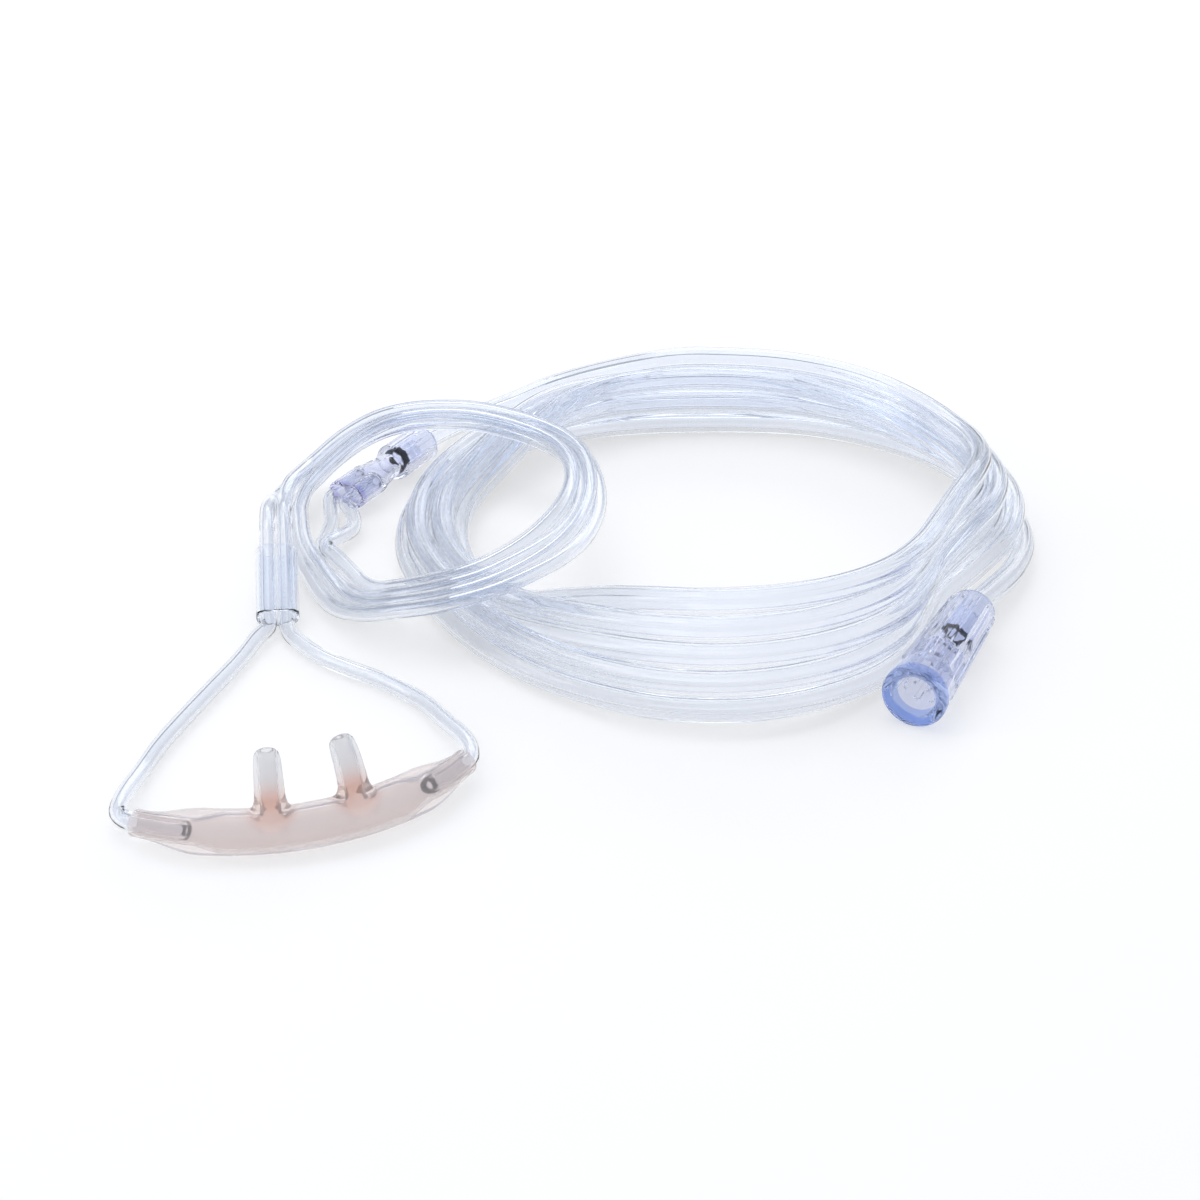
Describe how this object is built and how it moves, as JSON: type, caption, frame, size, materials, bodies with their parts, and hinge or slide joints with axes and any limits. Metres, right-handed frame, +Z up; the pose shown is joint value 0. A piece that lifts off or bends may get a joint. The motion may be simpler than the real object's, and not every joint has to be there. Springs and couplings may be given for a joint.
{
  "type": "nasal oxygen cannula",
  "caption": "Clear soft tubing set that carries oxygen to a two-prong nasal piece: headset tubes with a sliding sleeve, a Y connector, and a coiled supply tube with an end connector.",
  "frame": {"origin": "on the floor, under the middle of the box around the nasal piece, slider, Y connector and end connector", "axes": "+Z up, -Y the way the end connector's mouth faces, +X to that mouth's left"},
  "size_m": [0.165, 0.2156, 0.0275],
  "materials": {
    "soft_pink_vinyl": "soft translucent moulding, glossy",
    "clear_vinyl": "clear, glossy, faint blue tint",
    "clear_sleeve": "clear, glossy",
    "blue_tinted_plastic": "clear with a lavender blue tint, glossy"
  },
  "bodies": {
    "tubing": {"nasal_piece": "soft_pink_vinyl", "y_connector": "blue_tinted_plastic", "end_connector": "blue_tinted_plastic", "headset_tube_left": "clear_vinyl", "headset_tube_right": "clear_vinyl", "headset_coil": "clear_vinyl", "headset_tail_left": "clear_vinyl", "headset_tail_right": "clear_vinyl", "supply_lead": "clear_vinyl", "supply_coil": "clear_vinyl", "supply_tail": "clear_vinyl"},
    "sleeve": {"slider": "clear_sleeve"}
  },
  "joints": [
    {"name": "slider_slide", "type": "slide", "parent": "tubing", "child": "sleeve", "axis": [-0.5108, 0.8143, 0.2756], "range_m": [0, 0.006]}
  ]
}
